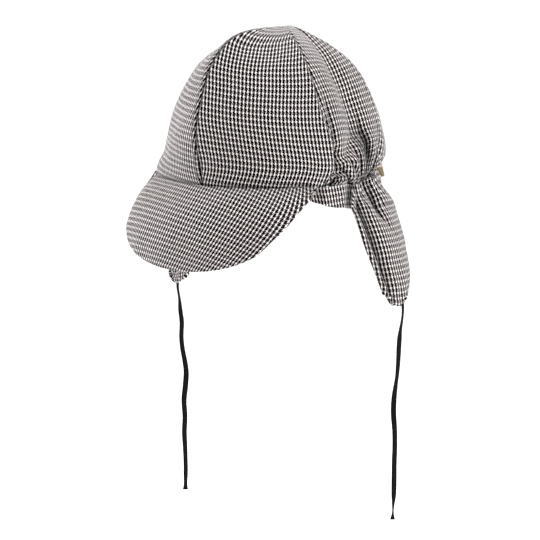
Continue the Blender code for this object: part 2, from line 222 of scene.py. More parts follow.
# Camera and stage
CAMERA_AZIMUTH = math.radians(41)
CAMERA_ELEVATION = math.radians(7)
CAMERA_TARGET = Vector((-0.0024, -0.0021, -0.0759))
CAMERA_DISTANCE = 3.0
VIEW_WIDTH = 0.42755
FLOOR_HEIGHT = -0.33

# Cloth: one houndstooth check is eight threads each way, and its sizes are in millimetres
CHECK_ACROSS = 3.0
CHECK_ALONG = 4.4
THREADS = 8
DARK_WARP = 0.65
DARK_WEFT = 0.615
WARP_EDGE = 0.84
WEFT_EDGE = 0.55
SWELL_SHADE = 0.22
FUZZ_HEIGHT = 0.35
WEAVE_HEIGHT = 0.00012
RIB_HEIGHT = 0.00008
WHITES = ((0.91, 0.84, 0.83, 1), (0.98, 0.91, 0.90, 1))
BLACKS = ((0.003, 0.002, 0.002, 1), (0.010, 0.007, 0.007, 1))
TAPE_BLACKS = ((0.001, 0.001, 0.001, 1), (0.010, 0.009, 0.010, 1))
TAB_BROWNS = ((0.075, 0.050, 0.020, 1), (0.19, 0.14, 0.06, 1))
# Painted highlight colours for the tab's upper edge.
TAB_PAINTED_HIGHLIGHTS = ((0.36, 0.28, 0.22, 1), (0.50, 0.40, 0.33, 1))
TAPE_RIB = 0.55
TAPE_CROSS = 0.45
TAB_RIB = 0.5
# Height of the tab's painted highlight strip, in millimetres from its top.
TAB_PAINTED_HIGHLIGHT_HEIGHT = 1.5

# Steps for the crown's outward direction
NORMAL_STEP = 0.01
NORMAL_TURN = 0.6

# Shape of the flaps beyond their table
FLAP_DRIFT = 0.12
FLAP_END_ROUND = 0.05
FLAP_JOIN = 0.2
FLAP_LIFT_REACH = 0.25


def table(rows, at):
    """The other columns of a table at many values of its first, on a smooth curve through the rows."""
    rows = np.array(rows, float)
    place = rows[:, 0]
    at = np.clip(np.asarray(at, float), place[0], place[-1])
    low = np.clip(np.searchsorted(place, at, side="right") - 1, 0, len(rows) - 2)
    before = np.maximum(np.arange(len(rows)) - 1, 0)
    after = np.minimum(np.arange(len(rows)) + 1, len(rows) - 1)
    slopes = (rows[after] - rows[before]) / (place[after] - place[before])[:, None]
    span = (place[low + 1] - place[low])[..., None]
    share = (at - place[low])[..., None] / span
    square, cube = share**2, share**3
    value = (2 * cube - 3 * square + 1) * rows[low] + (cube - 2 * square + share) * slopes[low] * span
    value = value + (3 * square - 2 * cube) * rows[low + 1] + (cube - square) * slopes[low + 1] * span
    return np.moveaxis(value[..., 1:], -1, 0)


def bump(distance, half_width):
    return np.exp(-((distance / half_width) ** 2))


def fade(value, start, end):
    """1 before start, 0 after end and smooth between them."""
    share = np.clip((value - start) / (end - start), 0.0, 1.0)
    return 1 - share * share * (3 - 2 * share)


def window(value, opens, opened, closes, closed):
    """0 outside a range, 1 inside it and smooth at both ends."""
    return (1 - fade(value, opens, opened)) * fade(value, closes, closed)


def unit(vectors):
    return vectors / np.maximum(np.linalg.norm(vectors, axis=-1, keepdims=True), 1e-12)


def ripple(first, second, seed, sizes=(1.0, 0.53, 0.29)):
    """Smooth low noise between about -1 and 1 over two coordinates."""
    draw = np.random.default_rng(seed)
    total = 0.0
    for size in sizes:
        for _ in range(3):
            turn, phase = draw.uniform(0, math.pi, 2)
            wave = (first * math.cos(turn) + second * math.sin(turn)) / size
            total = total + size * np.sin(wave * 2 * math.pi + phase * 2)
    return total / (3 * sum(sizes)) * 1.7


# ---- Surfaces of the part


def crown_round(degrees, level):
    """The crown without its seams and folds."""
    front, front_up, side, side_back, side_up, back, back_up = table(CROWN_LEVELS, level)
    ahead, out = np.cos(np.radians(degrees)), np.sin(np.radians(degrees))
    reach = np.where(ahead > 0, front + side_back, back - side_back)
    up = np.where(ahead > 0, front_up, back_up)
    return np.stack(
        [
            RIM_HALF_WIDTH * side * out,
            RIM_HALF_LENGTH * (side_back - reach * ahead),
            CROWN_HEIGHT * (side_up + (up - side_up) * ahead**2),
        ],
        axis=-1,
    )


def crown_normal(degrees, level):
    """The outward direction of the plain crown."""
    low = np.maximum(level - NORMAL_STEP, 0.0)
    across = crown_round(degrees + NORMAL_TURN, level) - crown_round(degrees - NORMAL_TURN, level)
    upward = crown_round(degrees, low + NORMAL_STEP) - crown_round(degrees, low)
    return unit(np.cross(across, upward))


def gore_flatness(degrees, level):
    """How far each gore is flatter than the round crown between its seams."""
    front_seam, back_seam = table(SEAMS, level)
    total = 0.0
    for start, end in ((0.0, front_seam), (front_seam, back_seam), (back_seam, 180.0)):
        span = end - start
        share = (degrees - start) / span
        inside = (degrees >= start) & (degrees <= end)
        strength = (span / front_seam) ** 2 * (1 - 0.8 * fade(level, 0.0, 0.22)) * fade(level, 0.75, 1.0)
        total = np.where(inside, GORE_FLATNESS * strength * (1 - (2 * share - 1) ** 2), total)
    return total


def crown_outer(degrees, level):
    """The crown's outer face; the angle from the front is negative on the wearer's right."""
    angle = np.abs(degrees)
    fold_angle, depth, half_width = table(SIDE_FOLD, level)
    sink = depth * bump(angle - fold_angle, half_width)
    for low_angle, high_angle, reach, depth, half_width in GATHERS:
        middle = low_angle + (high_angle - low_angle) * np.minimum(level / reach, 1.0)
        sink = sink + depth * bump(angle - middle, half_width) * fade(level, reach * 0.2, reach)
    sink = gore_flatness(angle, level) + FOLD_DEPTH * sink
    point = crown_round(angle, level) - sink[..., None] * crown_normal(angle, level)
    lift = RIM_DIP * table(RIM_LIFT, angle)[0]
    point[..., 2] += lift * fade(level, 0.0, 0.3)
    point[..., 0] *= np.where(degrees < 0, -1, 1)
    return point


def rim_point(degrees, inside=0.0, below=0.0):
    """A point of the rim, drawn inward and down."""
    point = crown_outer(degrees, np.zeros_like(degrees))
    inward = -unit(point[..., :2])
    return np.concatenate([point[..., :2] + inward * inside, point[..., 2:] - below], axis=-1)


def flap_point(across, down):
    """The left flap's outer face, from its front edge at -1 to its back edge at 1."""
    out, front_out, front_back, rear_out, rear_back = table(FLAP_SECTIONS, down)
    degrees = (FLAP_FRONT_ANGLE + FLAP_BACK_ANGLE) / 2
    middle = crown_round(np.full_like(across, degrees), np.zeros_like(across))
    ahead, behind = across * (across - 1) / 2, across * (across + 1) / 2
    hung_x = middle[..., 0] + out * FLAP_SPLAY + (front_out * ahead + rear_out * behind) * FLAP_WIDTH
    hung_y = middle[..., 1] * (1 - FLAP_DRIFT * down) + (front_back * ahead + rear_back * behind) * FLAP_WIDTH
    edge_angle = degrees + across * (FLAP_BACK_ANGLE - FLAP_FRONT_ANGLE) / 2
    at_rim = crown_round(edge_angle, np.zeros_like(across))
    join = fade(down, 0.0, FLAP_JOIN)
    lift = RIM_DIP * table(RIM_LIFT, edge_angle)[0] - FLAP_REAR_DROP * fade(-across, -1.0, -0.3)
    height = -FLAP_LENGTH * down + lift * fade(down, 0.0, FLAP_LIFT_REACH) - GAP
    round_end = FLAP_END_ROUND * np.abs(across) ** 3 * down**6
    return np.stack(
        [
            hung_x * (1 - join) + (at_rim[..., 0] + FLAP_STAND_OFF) * join,
            hung_y * (1 - join) + at_rim[..., 1] * join,
            height + FLAP_LENGTH * round_end,
        ],
        axis=-1,
    )


# ---- Mesh making


SHARP_ANGLE = math.radians(60)
DARKEST_PAINTED_SHADE = 0.97
EDGE_ROUNDING = 0.6
EDGE_THICKNESS = 0.12


def spread(count, crowding):
    """Places from 0 to 1, denser towards both ends."""
    place = np.linspace(0.0, 1.0, count + 1)
    return place - crowding * np.sin(2 * math.pi * place) / (2 * math.pi)


def arc(points, axis):
    """Length along a grid's lines, in millimetres, from each line's first point."""
    step = np.linalg.norm(np.diff(points, axis=axis), axis=-1) * 1000
    start = np.zeros_like(np.take(step, [0], axis=axis))
    return np.cumsum(np.concatenate([start, step], axis=axis), axis=axis)


def laid_flat(points):
    """Flat places of a bent sheet's points, in millimetres: its middle row by its turning, its columns straight."""
    middle, centre = points.shape[0] // 2, points.shape[1] // 2
    row = points[middle]
    ahead = unit(np.gradient(row, axis=0))
    down = unit(points[middle + 1] - points[middle - 1])
    normal = unit(np.cross(down, ahead))
    turn = (np.cross(ahead[:-1], ahead[1:]) * normal[:-1]).sum(-1)
    heading = np.concatenate([[0.0], np.cumsum(turn)])
    heading = heading - heading[centre]
    step = np.linalg.norm(np.diff(row, axis=0), axis=-1) * 1000
    way = (heading[1:] + heading[:-1]) / 2
    place = np.cumsum(np.stack([np.cos(way), np.sin(way)], axis=-1) * step[:, None], axis=0)
    place = np.concatenate([np.zeros((1, 2)), place])
    away = heading + np.arctan2((np.cross(ahead, down) * normal).sum(-1), (ahead * down).sum(-1))
    length = arc(points, 0)
    length = length - length[middle]
    return place - place[centre] + length[..., None] * np.stack([np.cos(away), np.sin(away)], axis=-1)


def turned(grain, degrees):
    """Grain coordinates turned in the cloth's plane."""
    turn = math.radians(degrees)
    u, v = grain[..., 0], grain[..., 1]
    return np.stack([u * math.cos(turn) - v * math.sin(turn), u * math.sin(turn) + v * math.cos(turn)], axis=-1)


def grid_normals(points, outward):
    """A unit normal at each point of a grid, on the side that outward points to."""
    normal = unit(np.cross(np.gradient(points, axis=1), np.gradient(points, axis=0)))
    side = np.sign((normal * outward).sum(-1).mean())
    return normal * (side if side else 1.0)


def rounded(distance, wall):
    """A wall's thickness share at a distance from a turned edge, both in metres."""
    share = np.clip(distance / (wall * EDGE_ROUNDING), 0.0, 1.0)
    return EDGE_THICKNESS + (1 - EDGE_THICKNESS) * np.sqrt(1 - (1 - share) ** 2)


def cloth(name, face, normal, wall, grain, look, replaced, pinch=1.0, painted_shade=0.0):
    """A closed cloth wall under a grid of points, with its grain coordinates in millimetres as a UV map.

    The last argument is painted shade: the share by which the cloth's colour is darkened along a seam or a pressed
    fold.
    """
    rows, columns = face.shape[:2]
    pinch = np.broadcast_to(pinch, (rows, columns))[..., None]
    outer = face - normal * wall / 2 * (1 - pinch)
    inner = face - normal * wall / 2 * (1 + pinch)
    number = np.arange(rows * columns).reshape(rows, columns)
    quads = np.stack([number[:-1, :-1], number[:-1, 1:], number[1:, 1:], number[1:, :-1]], axis=-1)
    quads = quads.reshape(-1, 4)
    corner, ahead, beside = (outer.reshape(-1, 3)[quads[:, k]] for k in (0, 1, 3))
    facing = (np.cross(ahead - corner, beside - corner) * normal.reshape(-1, 3)[quads[:, 0]]).sum(-1).mean()
    if facing < 0:
        quads = quads[:, ::-1]
    total = rows * columns
    edge = np.concatenate([number[0], number[1:, -1], number[-1, -2::-1], number[-2:0:-1, 0]])
    following = np.roll(edge, -1)
    if facing < 0:
        edge, following = following, edge
    sides = np.stack([following, edge, edge + total, following + total], axis=-1)
    faces = np.concatenate([quads, quads[:, ::-1] + total, sides])
    points = np.concatenate([outer.reshape(-1, 3), inner.reshape(-1, 3)])
    mesh = bpy.data.meshes.new(name)
    mesh.vertices.add(len(points))
    mesh.vertices.foreach_set("co", points.astype(np.float32).ravel())
    mesh.loops.add(faces.size)
    mesh.loops.foreach_set("vertex_index", faces.astype(np.int32).ravel())
    mesh.polygons.add(len(faces))
    mesh.polygons.foreach_set("loop_start", np.arange(0, faces.size, 4, dtype=np.int32))
    mesh.polygons.foreach_set("loop_total", np.full(len(faces), 4, dtype=np.int32))
    flat = grain.reshape(-1, 2)
    where = np.concatenate([flat, flat])[faces]
    middle = flat.mean(0)
    beyond = flat[sides[:, 2] - total]
    push = unit(beyond - middle) * wall * 1000
    where[len(quads) * 2 :, 2] += push
    where[len(quads) * 2 :, 3] += push
    layer = mesh.uv_layers.new(name="grain")
    layer.uv.foreach_set("vector", where.astype(np.float32).ravel())
    # Painted shade, kept as a point attribute that darkens the cloth's colour in its material.
    shadow = np.clip(np.broadcast_to(painted_shade, (rows, columns)), 0.0, DARKEST_PAINTED_SHADE).astype(np.float32).ravel()
    mesh.attributes.new("painted_shade", "FLOAT", "POINT").data.foreach_set("value", np.concatenate([shadow, shadow]))
    mesh.update(calc_edges=True)
    mesh.validate()
    mesh.shade_smooth()
    mesh.set_sharp_from_angle(angle=SHARP_ANGLE)
    made = bpy.data.objects.new(name, mesh)
    made.data.materials.append(look)
    bpy.context.scene.collection.objects.link(made)
    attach(made, "root")
    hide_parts(*replaced)


# ---- Materials


class Nodes:
    """Builds a material's node tree with short calls."""

    def __init__(self, name):
        self.material = bpy.data.materials.new(name)
        self.material.use_nodes = True
        self.tree = self.material.node_tree
        self.shader = self.tree.nodes["Principled BSDF"]

    def add(self, kind, **settings):
        node = self.tree.nodes.new(kind)
        for key, value in settings.items():
            setattr(node, key, value)
        return node

    def put(self, socket, value):
        if isinstance(value, bpy.types.NodeSocket):
            self.tree.links.new(value, socket)
        else:
            socket.default_value = value

    def math(self, operation, *values):
        node = self.add("ShaderNodeMath", operation=operation)
        for socket, value in zip(node.inputs, values):
            self.put(socket, value)
        return node.outputs[0]

    def mix(self, share, first, second):
        node = self.add("ShaderNodeMix", data_type="RGBA")
        self.put(node.inputs[0], share)
        self.put(node.inputs[6], first)
        self.put(node.inputs[7], second)
        return node.outputs[2]

    def blend(self, share, first, second):
        """first where share is 0 and second where it is 1."""
        step = self.math("SUBTRACT", second, first)
        return self.math("MULTIPLY_ADD", step, share, first)

    def noise(self, vector, scale, detail=2.0):
        node = self.add("ShaderNodeTexNoise")
        self.put(node.inputs["Vector"], vector)
        self.put(node.inputs["Scale"], scale)
        self.put(node.inputs["Detail"], detail)
        return node.outputs["Fac"]

    def bumps(self, height, distance):
        node = self.add("ShaderNodeBump")
        self.put(node.inputs["Height"], height)
        self.put(node.inputs["Distance"], distance)
        self.tree.links.new(node.outputs["Normal"], self.shader.inputs["Normal"])

    def finish(self, **values):
        for key, value in values.items():
            self.put(self.shader.inputs[key.replace("_", " ")], value)
        return self.material


def houndstooth():
    """Black and white threads in a twill, four of each colour both ways, the black ones thicker."""
    n = Nodes("houndstooth_cloth_weave")
    grain = n.add("ShaderNodeUVMap", uv_map="grain").outputs[0]
    split = n.add("ShaderNodeSeparateXYZ")
    n.put(split.inputs[0], grain)
    thread = []
    for axis, check, dark_share in ((0, CHECK_ACROSS, DARK_WARP), (1, CHECK_ALONG, DARK_WEFT)):
        phase = n.math("FRACT", n.math("DIVIDE", split.outputs[axis], check))
        dark = n.math("LESS_THAN", phase, dark_share)
        half = THREADS / 2
        first = n.math("MINIMUM", n.math("MULTIPLY", phase, half / dark_share), half)
        past = n.math("MAXIMUM", n.math("SUBTRACT", phase, dark_share), 0.0)
        second = n.math("MULTIPLY", past, half / (1 - dark_share))
        place = n.math("ADD", first, second)
        count = n.math("FLOOR", place)
        share = n.math("SUBTRACT", place, count)
        from_middle = n.math("ABSOLUTE", n.math("MULTIPLY_ADD", share, 2.0, -1.0))
        swell = n.math("SUBTRACT", 1.0, n.math("POWER", from_middle, 2.0))
        thread.append((count, dark, swell))
    (column, warp_dark, warp_swell), (row, weft_dark, weft_swell) = thread
    step = n.math("FLOORED_MODULO", n.math("ADD", column, row), 4.0)
    warp_over = n.math("LESS_THAN", step, 1.5)
    over_weft = n.math("MAXIMUM", n.math("LESS_THAN", step, 2.5), n.math("LESS_THAN", weft_swell, WARP_EDGE))
    warp_shows = n.math("MULTIPLY", warp_dark, over_weft)
    beside_warp = n.math("MULTIPLY", n.math("GREATER_THAN", step, 0.5), n.math("LESS_THAN", warp_swell, WEFT_EDGE))
    over_warp = n.math("MAXIMUM", n.math("GREATER_THAN", step, 1.5), beside_warp)
    weft_shows = n.math("MULTIPLY", weft_dark, over_warp)
    dark = n.math("MAXIMUM", warp_shows, weft_shows)
    swell = n.blend(warp_over, weft_swell, warp_swell)
    uneven = n.noise(grain, 0.35, 3.0)
    fuzz = n.noise(grain, 3.1, 2.0)
    white = n.mix(uneven, *WHITES)
    black = n.mix(fuzz, *BLACKS)
    colour = n.mix(dark, white, black)
    # Painted shade along seams, folds and creases, read from a point attribute and multiplied into the base colour.
    painted_shade = n.add("ShaderNodeAttribute", attribute_name="painted_shade").outputs["Fac"]
    # Painted shade: each thread's colour darker towards its edges, where its rounding turns from the light.
    lit = n.math("MULTIPLY_ADD", swell, SWELL_SHADE, 1 - SWELL_SHADE)
    shade = n.math("MULTIPLY", lit, n.math("SUBTRACT", 1.0, painted_shade))
    mixed = n.add("ShaderNodeVectorMath", operation="SCALE")
    n.put(mixed.inputs[0], colour)
    n.put(mixed.inputs["Scale"], shade)
    height = n.math("MULTIPLY_ADD", fuzz, FUZZ_HEIGHT, swell)
    n.bumps(height, WEAVE_HEIGHT)
    return n.finish(
        Base_Color=mixed.outputs[0],
        Roughness=0.95,
        Sheen_Weight=0.6,
        Sheen_Roughness=0.25,
        Specular_IOR_Level=0.03,
    )


def black_tape():
    """Black tape of a fine weave, a little paler along its middle."""
    n = Nodes("black_tape_weave")
    grain = n.add("ShaderNodeUVMap", uv_map="grain").outputs[0]
    split = n.add("ShaderNodeSeparateXYZ")
    n.put(split.inputs[0], grain)
    rib = n.math("SINE", n.math("MULTIPLY", split.outputs[1], 2 * math.pi / TAPE_RIB))
    cross = n.math("SINE", n.math("MULTIPLY", split.outputs[0], 2 * math.pi / TAPE_CROSS))
    weave = n.math("MULTIPLY", rib, cross)
    wear = n.noise(grain, 0.6, 3.0)
    centre = n.math("SUBTRACT", 1.0, n.math("POWER", n.math("DIVIDE", split.outputs[0], TIE_WIDTH * 500), 2.0))
    tone = n.math("MULTIPLY_ADD", n.math("MAXIMUM", centre, 0.0), 0.6, n.math("MULTIPLY", wear, 0.4))
    colour = n.mix(tone, *TAPE_BLACKS)
    n.bumps(weave, RIB_HEIGHT)
    return n.finish(Base_Color=colour, Roughness=0.85, Sheen_Weight=0.0, Sheen_Roughness=0.4, Specular_IOR_Level=0.05)


def brown_tab():
    """Brown ribbed cloth with a painted highlight along its upper edge, as if lit from above."""
    n = Nodes("brown_tab_weave")
    grain = n.add("ShaderNodeUVMap", uv_map="grain").outputs[0]
    split = n.add("ShaderNodeSeparateXYZ")
    n.put(split.inputs[0], grain)
    # Painted highlight: the top strip paler, as if lit from above.
    edge = n.math("GREATER_THAN", split.outputs[1], -TAB_PAINTED_HIGHLIGHT_HEIGHT)
    threads = n.noise(grain, 2.6, 3.0)
    brown = n.mix(threads, *TAB_BROWNS)
    pale = n.mix(threads, *TAB_PAINTED_HIGHLIGHTS)
    rib = n.math("SINE", n.math("MULTIPLY", split.outputs[0], 2 * math.pi / TAB_RIB))
    n.bumps(rib, RIB_HEIGHT)
    return n.finish(Base_Color=n.mix(edge, brown, pale), Roughness=0.8, Sheen_Weight=0.1, Specular_IOR_Level=0.3)


CLOTH_LOOK = houndstooth()
TAPE_LOOK = black_tape()
TAB_LOOK = brown_tab()


# ---- Camera and ties


def direction(azimuth, elevation):
    """The direction from the hat that an azimuth from the front and an elevation name."""
    level = math.cos(elevation)
    return Vector((math.sin(azimuth) * level, -math.cos(azimuth) * level, math.sin(elevation)))


def place_camera():
    """The photo's view, from the wearer's left front."""
    back = direction(CAMERA_AZIMUTH, CAMERA_ELEVATION)
    data = bpy.data.cameras.new("camera")
    data.type = "ORTHO"
    data.ortho_scale = VIEW_WIDTH
    data.clip_end = 50.0
    camera = bpy.data.objects.new("camera", data)
    camera.location = CAMERA_TARGET + back * CAMERA_DISTANCE
    camera.rotation_euler = back.to_track_quat("Z", "Y").to_euler()
    bpy.context.scene.collection.objects.link(camera)
    bpy.context.scene.camera = camera


TIE_TWISTS = {
    # share along the tape, turn in degrees from facing the camera, width share
    "left": [
        (0.00, 50, 0.70),
        (0.05, 66, 0.80),
        (0.12, 55, 0.95),
        (0.17, 30, 1.00),
        (0.28, 40, 1.00),
        (0.36, 48, 1.00),
        (0.43, 15, 1.00),
        (0.50, -8, 1.05),
        (0.60, 22, 1.00),
        (0.75, 18, 1.00),
        (0.88, 25, 1.00),
        (0.935, 60, 0.75),
        (0.965, 68, 0.60),
        (1.00, 20, 1.00),
    ],
    "right": [
        (0.00, 50, 0.70),
        (0.07, 70, 0.90),
        (0.15, 40, 1.00),
        (0.30, 35, 1.00),
        (0.42, 20, 1.00),
        (0.50, -10, 1.05),
        (0.60, 15, 1.00),
        (0.72, 22, 1.00),
        (0.85, 40, 1.00),
        (0.93, 30, 0.90),
        (0.97, 40, 0.80),
        (1.00, 20, 1.05),
    ],
}
TAPE_TUCK = np.array([0.0, 0.0, 0.0025])
TAPE_ROWS = 260
TAPE_SIDES = 16
TAPE_SHARP_ANGLE = math.radians(50)


def tape(side):
    """A flat tape on the tie's route, turned about its length as it hangs."""
    name = f"tape_{side}"
    foot = flap_point(np.zeros(1), np.ones(1))[0]
    foot[0] *= 1 if side == "left" else -1
    route = [(place, *(foot + np.array(point))) for place, point in enumerate(TIE_ROUTES[side])]
    route[0] = (0, *(route[0][1:] + TAPE_TUCK))
    share = np.linspace(0.0, 1.0, TAPE_ROWS + 1)
    centre = table(route, share * (len(route) - 1)).T
    length = arc(centre[:, None, :], 0)[:, 0]
    share = length / length[-1]
    even = np.linspace(0, 1, TAPE_ROWS + 1)
    centre = np.stack([np.interp(even, share, centre[:, k]) for k in range(3)], axis=-1)
    length = arc(centre[:, None, :], 0)[:, 0]
    turn, width = table(TIE_TWISTS[side], length / length[-1])
    ahead = unit(np.gradient(centre, axis=0))
    right = np.array([math.cos(CAMERA_AZIMUTH), math.sin(CAMERA_AZIMUTH), 0.0])
    right = unit(right - ahead * (ahead @ right)[:, None])
    front = np.cross(right, ahead)
    turn = np.radians(turn)[:, None]
    across = right * np.cos(turn) + front * np.sin(turn)
    through = front * np.cos(turn) - right * np.sin(turn)
    angle = np.linspace(0, 2 * math.pi, TAPE_SIDES, endpoint=False)
    wide = np.sign(np.cos(angle)) * np.abs(np.cos(angle)) ** 0.35 * TIE_WIDTH / 2
    thick = np.sign(np.sin(angle)) * np.abs(np.sin(angle)) ** 0.6 * TIE_THICKNESS / 2
    ring = across[:, None, :] * (wide[None, :] * width[:, None])[..., None]
    ring = ring + through[:, None, :] * thick[None, :, None]
    points = centre[:, None, :] + ring
    number = np.arange(points.shape[0] * TAPE_SIDES).reshape(-1, TAPE_SIDES)
    around = np.roll(number, -1, axis=1)
    faces = np.stack([number[:-1], around[:-1], around[1:], number[1:]], axis=-1).reshape(-1, 4)
    mesh = bpy.data.meshes.new(name)
    caps = [number[0][::-1].tolist(), number[-1].tolist()]
    mesh.from_pydata(points.reshape(-1, 3).tolist(), [], faces.tolist() + caps)
    layer = mesh.uv_layers.new(name="grain")
    across_mm = np.broadcast_to(wide * 1000, number.shape).ravel()
    along_mm = np.broadcast_to(length[:, None], number.shape).ravel()
    index = np.zeros(len(mesh.loops), np.int32)
    mesh.loops.foreach_get("vertex_index", index)
    where = np.stack([across_mm[index], along_mm[index]], axis=-1)
    layer.uv.foreach_set("vector", where.astype(np.float32).ravel())
    mesh.validate()
    mesh.shade_smooth()
    mesh.set_sharp_from_angle(angle=TAPE_SHARP_ANGLE)
    made = bpy.data.objects.new(name, mesh)
    made.data.materials.append(TAPE_LOOK)
    bpy.context.scene.collection.objects.link(made)
    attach(made, "root")
    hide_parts(f"tie_{side}")


place_camera()
for side in ("left", "right"):
    tape(side)


# ---- Crown


TOP_LEVEL = 0.9995
LOW_ROWS = 1.12
SEAM_ROLL = 0.0011
SEAM_ROLL_WIDTH = 0.0012
SEAM_RIDGE = 0.0004
SEAM_RIDGE_ENDS = (0.0045, 0.0065)
SEAM_RIDGE_DIP = 0.0016
SEAM_SHADE = 0.65
SEAM_SHADE_WIDTH = 0.0010
MIDDLE_SHADE_WIDTH = 0.0014
WELT = 0.0044
WELT_SHADE = 0.75
WELT_SHADE_WIDTH = 0.0009
RIM_SHADE = 0.85
RIM_SHADE_WIDTH = 0.0012
PUCKER = 0.00022
PUCKER_WIDTH = 0.0045
PUCKER_PITCH = 6.3
RIPPLE = 0.0006
RIPPLE_EDGE = 0.012
RIM_ROLL = 0.0011
RIM_ROLL_WIDTH = 0.0016
RIM_OVERLAP = 0.0009
RIM_OVERLAP_WIDTH = 0.0015
FINE_PLEATS = [
    # rim angle, upper angle, reach in levels, depth in millimetres, half width in degrees
    (71.5, 74.0, 0.09, 0.8, 0.9),
    (77.0, 81.5, 0.13, 1.3, 1.0),
    (81.0, 84.5, 0.10, 0.8, 0.9),
    (87.5, 89.5, 0.12, 1.1, 1.0),
    (94.6, 97.5, 0.15, 1.2, 1.1),
    (101.5, 106.0, 0.20, 1.3, 1.2),
    (104.8, 112.0, 0.14, 1.0, 1.0),
    (112.0, 121.5, 0.12, 0.9, 1.2),
    (122.0, 128.0, 0.10, 0.8, 1.4),
    (127.0, 131.0, 0.08, 0.6, 1.4),
    (139.0, 141.0, 0.10, 0.7, 1.8),
    (156.0, 157.0, 0.09, 0.6, 1.8),
    (173.0, 173.5, 0.09, 0.6, 1.8),
]
CREASES = [
    # low level, angle, high level, angle, depth in millimetres, half width in degrees, shade
    (0.00, 68.0, 0.085, 76.8, 3.4, 2.0, 0.95),
    (0.05, 77.3, 0.225, 77.9, 4.0, 1.9, 0.95),
    (0.00, 72.8, 0.060, 79.0, 2.8, 1.3, 0.90),
    (0.00, 86.0, 0.100, 78.8, 3.0, 1.5, 0.95),
    (0.00, 91.0, 0.140, 85.5, 2.6, 1.2, 0.75),
    (0.00, 94.0, 0.200, 91.5, 3.0, 1.3, 0.80),
    (0.00, 97.0, 0.340, 102.5, 4.4, 2.4, 0.90),
    (0.00, 101.0, 0.240, 112.0, 3.4, 1.5, 0.90),
    (0.00, 108.0, 0.080, 115.0, 2.0, 1.2, 0.70),
    (0.18, 78.0, 0.480, 78.8, 1.8, 1.6, 0.60),
    (0.04, 94.5, 0.400, 98.4, 1.4, 1.2, 0.65),
    (0.04, 99.6, 0.420, 106.0, 1.4, 1.2, 0.65),
]
PUFF = 0.0032
PUFF_LEVEL = 0.075
PUFF_RANGE = (76.0, 84.0, 104.0, 112.0)
FLARE = 0.0065
FLARE_ANGLE = -54.0
FLARE_WIDTH = 16.0
FLARE_LEVEL = 0.16
RIM_TUCK = 0.0040
RIM_TUCK_LEVEL = 0.045
RIM_TUCK_RANGE = (103.0, 112.0, 150.0, 172.0)
GRAIN_PULL = 15.0
GRAIN_PULL_LEVEL = 0.24
GRAIN_LEAN = -0.3
GRAIN_LEAN_REACH = 12.0
TOP_GRAIN_START = 120.0
TOP_GRAIN_EASE = 0.62
TOP_GRAIN_BLEND = 12.0
GORE_TURNS = [-24, 0, 5, 5, 0, 24]


def flare(degrees, level):
    """How far the peak's far end pushes the rim out, on the wearer's right."""
    return FLARE * bump(degrees - FLARE_ANGLE, FLARE_WIDTH) * fade(level, 0.0, FLARE_LEVEL)


def rim_tuck(angle, level):
    """How far the rim is drawn in behind the flap, under the crown's bulge."""
    return RIM_TUCK * bump(level, RIM_TUCK_LEVEL) * window(angle, *RIM_TUCK_RANGE)


def grain_pull(angle, level):
    """How far the gathers draw the threads aft, in millimetres, and forward behind the flap."""
    low = np.clip(1 - level / GRAIN_PULL_LEVEL, 0, 1) ** 2
    return GRAIN_PULL * low * (1.7 * fade(angle, 94.0, 106.0) - 0.7)


def puff(angle, level):
    """How far the gathered cloth swells over the rim above the flap."""
    rise = np.clip(level / PUFF_LEVEL, 0.0, None)
    return PUFF * rise * np.exp(1 - rise) * window(angle, *PUFF_RANGE)


def pressed(angle, level):
    """How far the creases sink the crown, in metres, and the shade painted along them."""
    depth, shade = np.zeros_like(level), np.zeros_like(level)
    for low, low_angle, high, high_angle, deep, half_width, dark in CREASES:
        share = (level - low) / (high - low)
        strength = fade(share, 0.6, 1.0) * (1 if low == 0 else fade(-share, -0.3, 0.0))
        middle = low_angle + (high_angle - low_angle) * np.clip(share, 0, 1)
        depth += deep / 1000 * strength * bump(angle - middle, half_width)
        shade += dark * strength * bump(angle - middle, half_width * 0.75)
    return depth, shade


def seam_shade(name, from_start, from_end):
    """The shade painted along a gore's seams: most at the front's middle seam, which has a second line."""
    shade = SEAM_SHADE * bump(np.minimum(from_start, from_end), SEAM_SHADE_WIDTH)
    if "front" in name:
        middle = from_end if "right" in name else from_start
        shade = np.maximum(shade, bump(middle, MIDDLE_SHADE_WIDTH))
        if "right" in name:
            shade = shade + WELT_SHADE * bump(middle - WELT, WELT_SHADE_WIDTH)
    return shade


